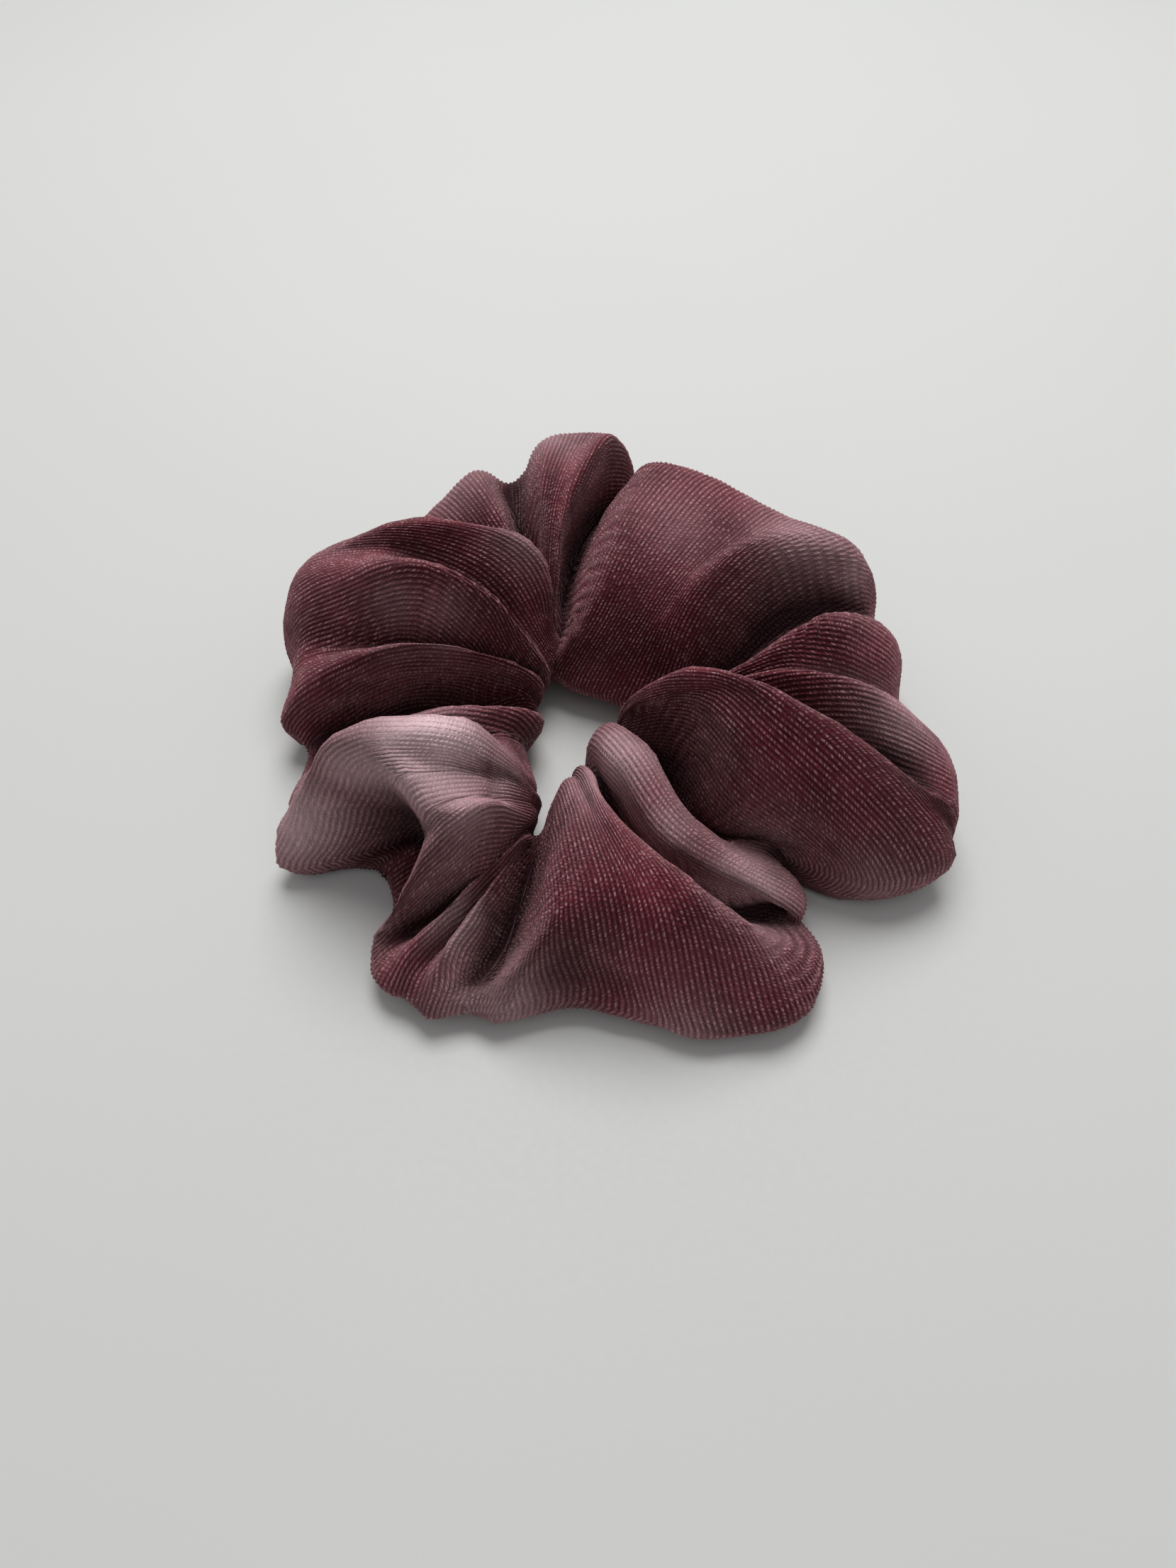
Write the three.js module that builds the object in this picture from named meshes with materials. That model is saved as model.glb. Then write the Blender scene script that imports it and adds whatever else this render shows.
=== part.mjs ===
// A relaxed hair scrunchie: a velvet tube gathered on a flat elastic loop.
// Millimetres, +Z up, lying on z = 0 with the hair opening along Z.
//
// Every solid is laid out round the hole's centre, by angle (0 along +X, anticlockwise from above).
// The ring is made in two halves, left and right, so that it can be pulled open along X.
import * as THREE from "three";
import { ParametricGeometry } from "three/addons/geometries/ParametricGeometry.js";
import { mergeGeometries, mergeVertices } from "three/addons/utils/BufferGeometryUtils.js";

// Hole
const HOLE_HALF_WIDTH = 7;
const HOLE_HALF_LENGTH = 15.5;

// Velvet tube
const TUBE_REACH = 50; // from the hole's centre to the outer edge, in the deepest valley
const TUBE_HEIGHT = 23; // from the underside to the top, in the deepest valley
const EDGE_HEIGHT = 13; // height of the tube's inner and outer edges
const SEAT_DIP = 2.5; // how far the rounded underside would sink, cut off flat
const CLOTH_THICKNESS = 1.2;

// Gathers: each puff's angle and half width in degrees, and how far it swells out and up in mm
const GATHERS = [
  { at: 2, half: 15, out: 8, up: 6 },
  { at: 45, half: 30, out: 7, up: 7 },
  { at: 95, half: 22, out: 6, up: 5 },
  { at: 122, half: 12, out: 4, up: 4 },
  { at: 152, half: 27, out: 6, up: 11 },
  { at: 192, half: 13, out: 3, up: 4 },
  { at: 213, half: 16, out: 8, up: 9 },
  { at: 240, half: 18, out: 9, up: 3 },
  { at: 285, half: 30, out: 9, up: 5 },
  { at: 338, half: 26, out: 14, up: 10 },
];
const GATHER_BLEND = 4; // power of the smooth maximum where two puffs meet

// Elastic
const ELASTIC_WIDTH = 6;
const ELASTIC_THICKNESS = 1.2;
const ELASTIC_LAP = 12;
const ELASTIC_ANGLE = 180; // where its two ends lap

// Thread
const THREAD_DIAMETER = 0.5;
const TACK_ZIGZAGS = 2;
const TACK_COVER = 0.85; // share of the lap that the tack covers
const LONG_SEAM_TURN = 0.8; // where on the tube's section the long seam runs: on the underside
const CLOSING_SEAM_ANGLE = 203;

const GAP = 0.3; // between neighbouring pieces
const DEGREES_PER_STATION = 4;
const SECTION_POINTS = 18;

const DEG = Math.PI / 180;
const LEFT = { name: "left", side: -1, from: 90, to: 270 };
const RIGHT = { name: "right", side: 1, from: 270, to: 450 };
// What a thread or the elastic keeps between its middle and the cloth's inner face
const LONG_SEAM_LIFT = GAP + THREAD_DIAMETER / 2;
const CLOSING_SEAM_LIFT = LONG_SEAM_LIFT + THREAD_DIAMETER + GAP;
// How far the tube's rounded inner edge draws back over the width of the elastic
const EDGE_ROUNDING = ELASTIC_WIDTH / 2 / (TUBE_HEIGHT - CLOTH_THICKNESS - EDGE_HEIGHT);
const EDGE_DRAWBACK = ((TUBE_REACH - HOLE_HALF_WIDTH) / 2) * (1 - Math.sqrt(1 - EDGE_ROUNDING ** 2));
const ELASTIC_INSET =
  CLOTH_THICKNESS +
  CLOSING_SEAM_LIFT +
  THREAD_DIAMETER / 2 +
  EDGE_DRAWBACK +
  GAP +
  ELASTIC_THICKNESS / 2;

// How far the gathers swell the tube at an angle, by the given key
function swell(angle, key) {
  const sum = GATHERS.reduce((total, gather) => {
    const away = Math.abs(((angle - gather.at + 540) % 360) - 180);
    const share = Math.cos(Math.min(away / gather.half, 1) * 90 * DEG) ** 2;
    return total + (gather[key] * share) ** GATHER_BLEND;
  }, 0);
  return sum ** (1 / GATHER_BLEND);
}

function holeRadius(angle) {
  const across = Math.cos(angle * DEG) / HOLE_HALF_WIDTH;
  const along = Math.sin(angle * DEG) / HOLE_HALF_LENGTH;
  return 1 / Math.hypot(across, along);
}

// A point of the tube's section: turn 0 is the inner edge, a quarter is the top, a half the outer edge
function tubePoint(angle, turn, inset) {
  const inner = holeRadius(angle) + inset;
  const outer = TUBE_REACH + swell(angle, "out") - inset;
  const top = TUBE_HEIGHT + swell(angle, "up") - inset;
  const middle = (inner + outer) / 2;
  const radius = middle - ((outer - inner) / 2) * Math.cos(turn * 2 * Math.PI);
  const rise = Math.sin(turn * 2 * Math.PI);
  const above = EDGE_HEIGHT + (top - EDGE_HEIGHT) * rise;
  const below = EDGE_HEIGHT + (EDGE_HEIGHT - inset + SEAT_DIP) * rise;
  const height = rise > 0 ? above : Math.max(below, inset);
  return at(angle, radius, height);
}

function at(angle, radius, height) {
  return new THREE.Vector3(radius * Math.cos(angle * DEG), radius * Math.sin(angle * DEG), height);
}

// One closed body from faces that share their edges
function weld(faces) {
  faces.forEach((face) => {
    face.deleteAttribute("normal");
    face.deleteAttribute("uv");
  });
  return mergeVertices(mergeGeometries(faces), 1e-4);
}

// A hollow half of the velvet tube: outer skin, inner skin and a rim at each end
function halfTube(half) {
  const stations = Math.round((half.to - half.from) / DEGREES_PER_STATION);
  const angleOf = (share) => half.from + (half.to - half.from) * share;
  const skin = (inset, flip) =>
    new ParametricGeometry(
      (u, v, target) => target.copy(tubePoint(angleOf(v), flip ? 1 - u : u, inset)),
      SECTION_POINTS,
      stations,
    );
  const rim = (angle, flip) =>
    new ParametricGeometry(
      (u, v, target) => target.copy(tubePoint(angle, flip ? 1 - u : u, v * CLOTH_THICKNESS)),
      SECTION_POINTS,
      1,
    );
  return weld([
    skin(0, false),
    skin(CLOTH_THICKNESS, true),
    rim(half.from, true),
    rim(half.to, false),
  ]);
}

// A bar of a round or flat section along points
function bar(section, points) {
  const path = new THREE.CatmullRomCurve3(points);
  return new THREE.ExtrudeGeometry(section, {
    steps: points.length,
    bevelEnabled: false,
    extrudePath: path,
  });
}

function roundSection(diameter, sides = 6) {
  const corners = Array.from({ length: sides }, (_, i) => {
    const turn = (i / sides) * 2 * Math.PI;
    return new THREE.Vector2(Math.cos(turn), Math.sin(turn)).multiplyScalar(diameter / 2);
  });
  return new THREE.Shape(corners);
}

// Upright, so its width lies along Z when it is bent round the hole
function bandSection(width, thickness) {
  const [w, t] = [width / 2, thickness / 2];
  const corners = [[-w, -t], [w, -t], [w, t], [-w, t]];
  return new THREE.Shape(corners.map(([x, y]) => new THREE.Vector2(x, y)));
}

function anglesBetween(from, to) {
  const steps = Math.round((to - from) / DEGREES_PER_STATION);
  return Array.from({ length: steps + 1 }, (_, i) => from + ((to - from) * i) / steps);
}

// The elastic is one band wound once round the hole and a little more, so that its ends lap.
// It moves out by its thickness and a gap in each turn.
const LAP_RADIUS = holeRadius(ELASTIC_ANGLE) + ELASTIC_INSET;
const LAP_HALF_ANGLE = ELASTIC_LAP / 2 / LAP_RADIUS / DEG;
const ELASTIC_START = ELASTIC_ANGLE - LAP_HALF_ANGLE;
const ELASTIC_END = ELASTIC_ANGLE + 360 + LAP_HALF_ANGLE;

function elasticRadius(angle) {
  const turns = (angle - ELASTIC_START) / 360;
  return holeRadius(angle) + ELASTIC_INSET + turns * (ELASTIC_THICKNESS + GAP);
}

function elasticStretch(from, to) {
  const section = bandSection(ELASTIC_WIDTH, ELASTIC_THICKNESS);
  const points = anglesBetween(from, to).map((angle) => at(angle, elasticRadius(angle), EDGE_HEIGHT));
  return bar(section, points);
}

// A zigzag of thread over the lap, on the outer face of the band
function tackThread() {
  const face = ELASTIC_THICKNESS / 2 + GAP + THREAD_DIAMETER / 2;
  const reach = ELASTIC_WIDTH / 3;
  const stops = 8 * TACK_ZIGZAGS;
  const points = Array.from({ length: stops + 1 }, (_, i) => {
    const share = i / stops;
    const angle = ELASTIC_ANGLE + LAP_HALF_ANGLE * TACK_COVER * (2 * share - 1);
    const height = EDGE_HEIGHT + reach * Math.cos(2 * Math.PI * TACK_ZIGZAGS * share);
    return at(angle, elasticRadius(angle + 360) + face, height);
  });
  return bar(roundSection(THREAD_DIAMETER), points);
}

function longSeamThread(half) {
  const inset = CLOTH_THICKNESS + LONG_SEAM_LIFT;
  const points = anglesBetween(half.from, half.to).map((angle) =>
    tubePoint(angle, LONG_SEAM_TURN, inset),
  );
  return bar(roundSection(THREAD_DIAMETER), points);
}

// Follows the tube's section just inside the cloth, and stops short of meeting its own start
function closingSeamThread() {
  const inset = CLOTH_THICKNESS + CLOSING_SEAM_LIFT;
  const stops = SECTION_POINTS * 2;
  const points = Array.from({ length: stops }, (_, i) =>
    tubePoint(CLOSING_SEAM_ANGLE, i / stops, inset),
  );
  return bar(roundSection(THREAD_DIAMETER), points);
}

const velvet = new THREE.MeshStandardMaterial({ color: 0x7a434b, roughness: 0.9, metalness: 0 });
const elastic = new THREE.MeshStandardMaterial({ color: 0xe6e0d8, roughness: 0.8, metalness: 0 });
const thread = new THREE.MeshStandardMaterial({ color: 0x6a3840, roughness: 0.7, metalness: 0 });

function piece(name, geometry, material) {
  const mesh = new THREE.Mesh(geometry, material);
  mesh.name = name;
  return mesh;
}

// Half of the ring, moved off the middle by half a gap
function halfRing(half, extras) {
  const group = new THREE.Group();
  group.add(piece(`cover_${half.name}`, halfTube(half), velvet));
  group.add(piece(`long_seam_${half.name}`, longSeamThread(half), thread));
  extras.forEach((extra) => group.add(extra));
  group.position.x = (half.side * GAP) / 2;
  return group;
}

const ring = new THREE.Group();
ring.add(
  halfRing(LEFT, [
    piece("elastic_inner_end", elasticStretch(ELASTIC_START, LEFT.to), elastic),
    piece("elastic_outer_end", elasticStretch(LEFT.from + 360, ELASTIC_END), elastic),
    piece("elastic_tack", tackThread(), thread),
    piece("closing_seam", closingSeamThread(), thread),
  ]),
  halfRing(RIGHT, [
    piece("elastic_right", elasticStretch(RIGHT.from, RIGHT.to), elastic),
  ]),
);

// The origin is under the middle of the ring's outer box, which the hole isn't in the middle of
const box = new THREE.Box3().setFromObject(ring);
ring.position.set(-(box.min.x + box.max.x) / 2, -(box.min.y + box.max.y) / 2, 0);

const scrunchie = new THREE.Group();
scrunchie.add(ring);
export default scrunchie;
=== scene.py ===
"""A velvet scrunchie lying on a pale floor.

The cover is one long strip of ribbed velvet, sewn into a tube and gathered on a
flat elastic loop. Its folds are listed as lines from the hole to the rim, a short
cloth simulation settles the velvet between them, and the ribs are then raised on
the settled cloth. Lengths inside the classes are in millimetres, and each mesh is
made in metres.
"""

import logging
import math
from dataclasses import dataclass, field
from enum import Enum

import bpy
import numpy as np
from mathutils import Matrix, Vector


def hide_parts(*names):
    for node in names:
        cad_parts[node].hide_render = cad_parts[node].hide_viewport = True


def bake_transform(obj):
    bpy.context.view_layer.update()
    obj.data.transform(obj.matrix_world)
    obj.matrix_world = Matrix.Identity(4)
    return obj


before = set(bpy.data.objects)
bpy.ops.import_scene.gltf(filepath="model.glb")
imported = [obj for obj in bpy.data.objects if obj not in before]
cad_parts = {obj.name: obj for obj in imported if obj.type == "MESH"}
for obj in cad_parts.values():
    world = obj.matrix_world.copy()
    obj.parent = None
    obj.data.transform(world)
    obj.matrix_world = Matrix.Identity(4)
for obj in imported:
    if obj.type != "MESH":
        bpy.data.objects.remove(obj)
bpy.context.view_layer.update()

MM = 0.001
SEED = 7
RIB_WANDER = 0.12  # how far a rib strays to the side, in ribs
GROUND_HALF = 150.0
STITCH_LOWEST = 0.05
UP = (0.0, 0.0, 1.0)
log = logging.getLogger("scrunchie")

Spot = tuple[float, float, float]  # bearing round the hole in degrees, reach and height in mm
Colour = tuple[float, float, float]


class FoldKind(Enum):
    """What the cloth does along a line from the hole to the rim."""

    CREST = "crest"
    DIP = "dip"
    CREASE = "crease"


@dataclass(frozen=True)
class Fold:
    """One line of the gathered cloth over the tube, from the hole out to the rim."""

    kind: FoldKind
    nose: Spot
    shoulder: Spot
    crown: Spot
    rim: Spot


CREST, DIP, CREASE = FoldKind.CREST, FoldKind.DIP, FoldKind.CREASE

FOLDS = (
    # the closing seam lies in the crease before the big front puff
    Fold(CREASE, (208, 12, 11), (212, 22, 20), (207, 36, 18), (204, 50, 8)),
    Fold(CREST, (239, 18, 14), (226, 26, 32), (210, 41, 31), (206, 54, 14)),
    Fold(CREST, (242, 19, 14), (229, 30, 32), (212, 43, 30), (210, 55, 9)),
    Fold(CREASE, (246, 20, 14), (227, 38, 31), (219, 34, 3), (217, 42, 2)),
    Fold(CREASE, (248, 22, 14), (236, 38.5, 28), (228, 36, 3), (226, 44, 2)),
    Fold(CREST, (250, 25, 14), (245, 34, 27), (238, 43, 22), (232, 51.5, 10)),
    # two small tucks at the front
    Fold(CREASE, (251, 26, 10), (246, 38, 13), (239, 47, 8), (233, 53, 7)),
    Fold(CREST, (252, 28, 12), (246.5, 40, 15), (241, 50, 13), (238, 57, 9)),
    Fold(DIP, (252, 28, 8), (248, 41, 8), (244.5, 50, 8), (243, 57, 7)),
    Fold(CREST, (252, 27, 10), (247.5, 42, 13), (246.5, 51, 12), (246, 58, 8)),
    # the wide front puff, which lies low
    Fold(CREASE, (253, 24, 9), (253.5, 34, 5), (253.5, 43, 2.5), (251, 55, 6)),
    Fold(CREST, (257, 19, 14), (264, 33, 19), (262, 46, 17), (257, 55, 8)),
    Fold(DIP, (264, 15, 14), (271, 29, 21), (270, 43, 22), (269, 50.5, 8)),
    Fold(CREST, (270, 14, 14), (278, 31, 24), (284, 45, 24), (287, 58, 8)),
    Fold(CREST, (272, 15, 13), (284, 34, 22), (295, 47, 20), (301, 62, 8)),
    Fold(DIP, (273, 15, 9), (286, 33, 12), (301, 46, 9), (310, 57, 6)),
    # the big right flap, with a pocket behind its turned-up edge
    Fold(CREASE, (274, 14, 6), (288, 30, 4), (302, 42, 4), (315, 47, 4)),
    Fold(CREST, (274, 11, 16), (282, 21, 22), (291, 33, 19), (312, 49.5, 9)),
    Fold(CREST, (294, 9, 18), (299, 20, 23), (302, 31.5, 17), (316, 47.5, 9)),
    Fold(CREASE, (311, 9, 13), (316, 18, 6), (310, 27, 5), (319, 41, 9)),
    Fold(CREST, (333, 8, 18), (334, 20, 27), (322, 33, 28), (325, 57, 14)),
    Fold(CREST, (347, 8, 16), (341, 20, 29), (333, 36, 33), (334, 64, 15)),
    Fold(CREASE, (352, 14, 8), (350, 26, 10), (341, 42, 15), (338, 62.5, 17)),
    Fold(CREST, (357, 17, 13), (355, 28, 22), (351, 42, 26), (347, 61, 18)),
    Fold(DIP, (1, 17.5, 10), (1, 29, 18), (1, 41, 19), (1, 54, 12)),
    Fold(CREST, (5, 17, 12), (9, 28, 20), (13, 41, 24), (14, 57, 16)),
    # the broad puff at the back right
    Fold(CREASE, (12, 18, 8), (18, 27, 11), (23, 39, 14), (21, 55.5, 14)),
    Fold(CREST, (18, 16.5, 12), (30, 21.5, 24), (35, 35.5, 28), (28, 57.5, 22)),
    Fold(DIP, (50, 9, 9), (44, 20, 25), (46, 36, 27), (46, 51, 24)),
    Fold(CREST, (112, 13, 10), (90, 13.5, 21), (77, 25, 30), (75, 50.5, 26)),
    # the back puff, with a smaller one on its left
    Fold(CREASE, (108, 17, 5), (100, 25, 7), (90, 40, 12), (80, 51, 15)),
    Fold(CREST, (106, 21, 14), (95, 31, 27), (85, 46, 31), (81, 55.5, 25)),
    Fold(DIP, (106, 22, 13), (99, 33, 26), (92, 46, 28), (89, 57, 25)),
    Fold(CREST, (107, 22, 14), (103, 34, 28), (99, 46, 29), (97, 56, 25)),
    Fold(CREASE, (108, 22, 10), (108, 34, 17), (107, 46, 19), (105, 52.5, 19)),
    Fold(CREST, (109, 22, 12), (113, 35, 22), (113, 48, 24), (111, 58, 19)),
    Fold(CREST, (110, 21, 10), (121, 36, 18), (124, 47, 18), (124, 56, 15)),
    # the boxy left puff, with a slit and a roll below it
    Fold(CREASE, (109, 19, 8), (122, 31, 9), (130, 42, 12), (135, 52, 12)),
    Fold(CREST, (106, 17.5, 14), (111, 22, 29), (134, 32, 33), (145, 49.5, 25)),
    Fold(DIP, (122, 13.5, 12), (143, 23, 26), (151, 38, 29), (156, 56, 22)),
    Fold(CREST, (131, 12, 15), (153, 20, 32), (160, 29.5, 35), (162, 55.5, 20)),
    Fold(CREASE, (137, 12, 11), (165, 21, 18), (171, 31, 21), (172, 50, 17)),
    Fold(CREST, (143, 11, 13), (173, 22, 24), (178, 32, 25), (180, 51.5, 14)),
    Fold(CREASE, (149, 11, 8), (170, 19.5, 8), (176, 30, 7), (184, 47, 7)),
    # the thin ridge between the left puff and the front puff
    Fold(CREASE, (154, 11, 5), (180, 20, 3), (186, 34, 3), (190, 48, 6)),
    Fold(CREST, (192, 8, 12), (202, 17, 20), (205, 31, 24), (200, 50.5, 12)),
)


@dataclass(frozen=True)
class NapSheenPatch:
    """A place where the pile is brushed the other way, its directional sheen painted as a lighter pink
    colour.
    """

    spot: Spot
    spread: float
    strength: float


# painted sheen: lighter pink patches where the brushed pile catches the light
NAP_SHEEN_PATCHES = (
    NapSheenPatch((226, 31, 33), 13, 1.0),
    NapSheenPatch((220, 42, 28), 9, 0.75),
    NapSheenPatch((210, 51, 14), 10, 0.8),
    NapSheenPatch((243, 25, 22), 7, 0.6),
    NapSheenPatch((173, 22, 28), 5, 0.4),
    NapSheenPatch((174, 31, 30), 5, 0.4),
    NapSheenPatch((112, 26, 29), 6, 0.45),
    NapSheenPatch((146, 50, 24), 7, 0.3),
    NapSheenPatch((116, 50, 22), 8, 0.35),
    NapSheenPatch((98, 52, 26), 8, 0.5),
    NapSheenPatch((60, 30, 27), 9, 0.15),
    NapSheenPatch((33, 47, 26), 10, 0.45),
    NapSheenPatch((24, 52, 22), 7, 0.45),
    NapSheenPatch((348, 50, 20), 8, 0.4),
    NapSheenPatch((304, 42, 8), 9, 0.6),
    NapSheenPatch((280, 15, 14), 7, 0.55),
    NapSheenPatch((283, 19, 21), 8, 0.55),
    NapSheenPatch((292, 31, 17), 6, 0.4),
    NapSheenPatch((320, 58, 6), 9, 0.3),
    NapSheenPatch((257, 54, 6), 9, 0.5),
    NapSheenPatch((248, 46, 13), 5, 0.6),
    NapSheenPatch((284, 59, 3), 8, 0.25),
    NapSheenPatch((228, 51, 9), 6, 0.4),
)


# ---------------------------------------------------------------- finishes


@dataclass(frozen=True)
class VelvetFinish:
    """Ribbed stretch velvet, burgundy where it is seen straight on, with a painted dusty pink sheen at its
    edges and on brushed pile, painted glints on its loops and painted shade in its grooves and hollows.
    """

    deep: Colour = (0.076, 0.0060, 0.0115)
    body: Colour = (0.235, 0.034, 0.053)
    # painted sheen colour of the brushed pile
    brushed_sheen: Colour = (0.990, 0.720, 0.765)
    # painted sheen: dusty pink colour mixed in where the cloth is seen edge on
    edge: Colour = (0.620, 0.285, 0.315)
    # painted shade: near black colour laid into the grooves between the ribs and into the hollows
    groove_shade: Colour = (0.016, 0.0018, 0.0035)
    # painted glint: bright pink specks on the loops
    painted_glint: Colour = (0.760, 0.440, 0.460)
    edge_sheen_blend: float = 0.38
    edge_sheen_strength: float = 0.68
    painted_glint_strength: float = 0.46
    groove_shade_depth: float = 0.82
    nap_cover: float = 0.80
    # how near black the painted shade in the creases and hollows goes
    hollow_shade_strength: float = 0.95
    sheen_tint: Colour = (1.0, 0.56, 0.61)
    sheen_weight: float = 0.24
    sheen_roughness: float = 0.36
    specular: float = 0.15
    rib_pitch: float = 0.86
    course_pitch: float = 0.78
    bump_height: float = 0.34


@dataclass(frozen=True)
class ThreadFinish:
    """Spun polyester sewing thread, dyed to match."""

    dark: Colour
    light: Colour
    twist_scale: float = 1800.0
    roughness: float = 0.62


@dataclass(frozen=True)
class ElasticFinish:
    """Braided elastic, off-white, with a herringbone of fine yarns."""

    yarn: Colour = (0.70, 0.68, 0.63)
    # painted shade: darker colour in the gaps between the yarns
    gap: Colour = (0.30, 0.28, 0.25)
    yarn_pitch: float = 0.8
    yarn_length: float = 1.1
    roughness: float = 0.7


@dataclass(frozen=True)
class FloorFinish:
    """A matt white laminate, a little warm."""

    colour: Colour = (0.70, 0.705, 0.69)
    cloudy: Colour = (0.66, 0.665, 0.65)
    roughness: float = 0.55


class Graph:
    """A node tree, with short calls for the nodes that the finishes use."""

    def __init__(self, tree: bpy.types.NodeTree) -> None:
        """Keeps the tree that the calls add nodes to."""
        self.tree = tree

    def node(self, kind: str, **settings: object) -> bpy.types.Node:
        """Adds a node.

        Args:
            kind: The node's type name, without its ShaderNode prefix.
            settings: Values for the node's own properties.

        Returns:
            The new node.
        """
        prefix = "" if kind.startswith("NodeGroup") else "ShaderNode"
        made = self.tree.nodes.new(prefix + kind)
        for name, value in settings.items():
            setattr(made, name, value)
        return made

    def feed(self, socket: bpy.types.NodeSocket, value: object) -> None:
        """Links a socket to another one, or sets its value.

        Args:
            socket: The input to feed.
            value: An output socket, a number or a tuple.
        """
        if isinstance(value, bpy.types.NodeSocket):
            self.tree.links.new(value, socket)
        elif isinstance(value, tuple) and socket.type == "RGBA":
            socket.default_value = (*value[:3], 1.0)
        else:
            socket.default_value = value

    def math(
        self, operation: str, first: object, second: object = 0.0, third: object = 0.0
    ) -> bpy.types.NodeSocket:
        """Adds a Math node.

        Args:
            operation: The node's operation.
            first: The first operand, a socket or a number.
            second: The second operand.
            third: The third operand.

        Returns:
            The node's output.
        """
        made = self.node("Math", operation=operation)
        for socket, value in zip(made.inputs, (first, second, third)):
            self.feed(socket, value)
        return made.outputs[0]

    def mix(self, factor: object, low: object, high: object) -> bpy.types.NodeSocket:
        """Mixes two colours.

        Args:
            factor: How much of the second colour shows.
            low: The first colour.
            high: The second colour.

        Returns:
            The mixed colour.
        """
        made = self.node("Mix", data_type="RGBA", clamp_factor=True)
        self.feed(made.inputs[0], factor)
        self.feed(made.inputs[6], low)
        self.feed(made.inputs[7], high)
        return made.outputs[2]

    def remap(
        self, value: object, low: float, high: float, to_low: float, to_high: float
    ) -> bpy.types.NodeSocket:
        """Maps a range to another one, smoothly and clamped.

        Args:
            value: The value to map.
            low: The start of its range.
            high: The end of its range.
            to_low: What the start becomes.
            to_high: What the end becomes.

        Returns:
            The mapped value.
        """
        made = self.node("MapRange", interpolation_type="SMOOTHSTEP")
        for socket, given in zip(made.inputs, (value, low, high, to_low, to_high)):
            self.feed(socket, given)
        return made.outputs[0]

    def noise(self, vector: object, scale: object, detail: float) -> bpy.types.NodeSocket:
        """Adds a noise texture.

        Args:
            vector: Where the noise is read.
            scale: How fine it is.
            detail: How many finer layers it has.

        Returns:
            The noise, about 0 to 1.
        """
        made = self.node("TexNoise")
        self.feed(made.inputs["Vector"], vector)
        self.feed(made.inputs["Scale"], scale)
        self.feed(made.inputs["Detail"], detail)
        return made.outputs["Fac"]


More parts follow.
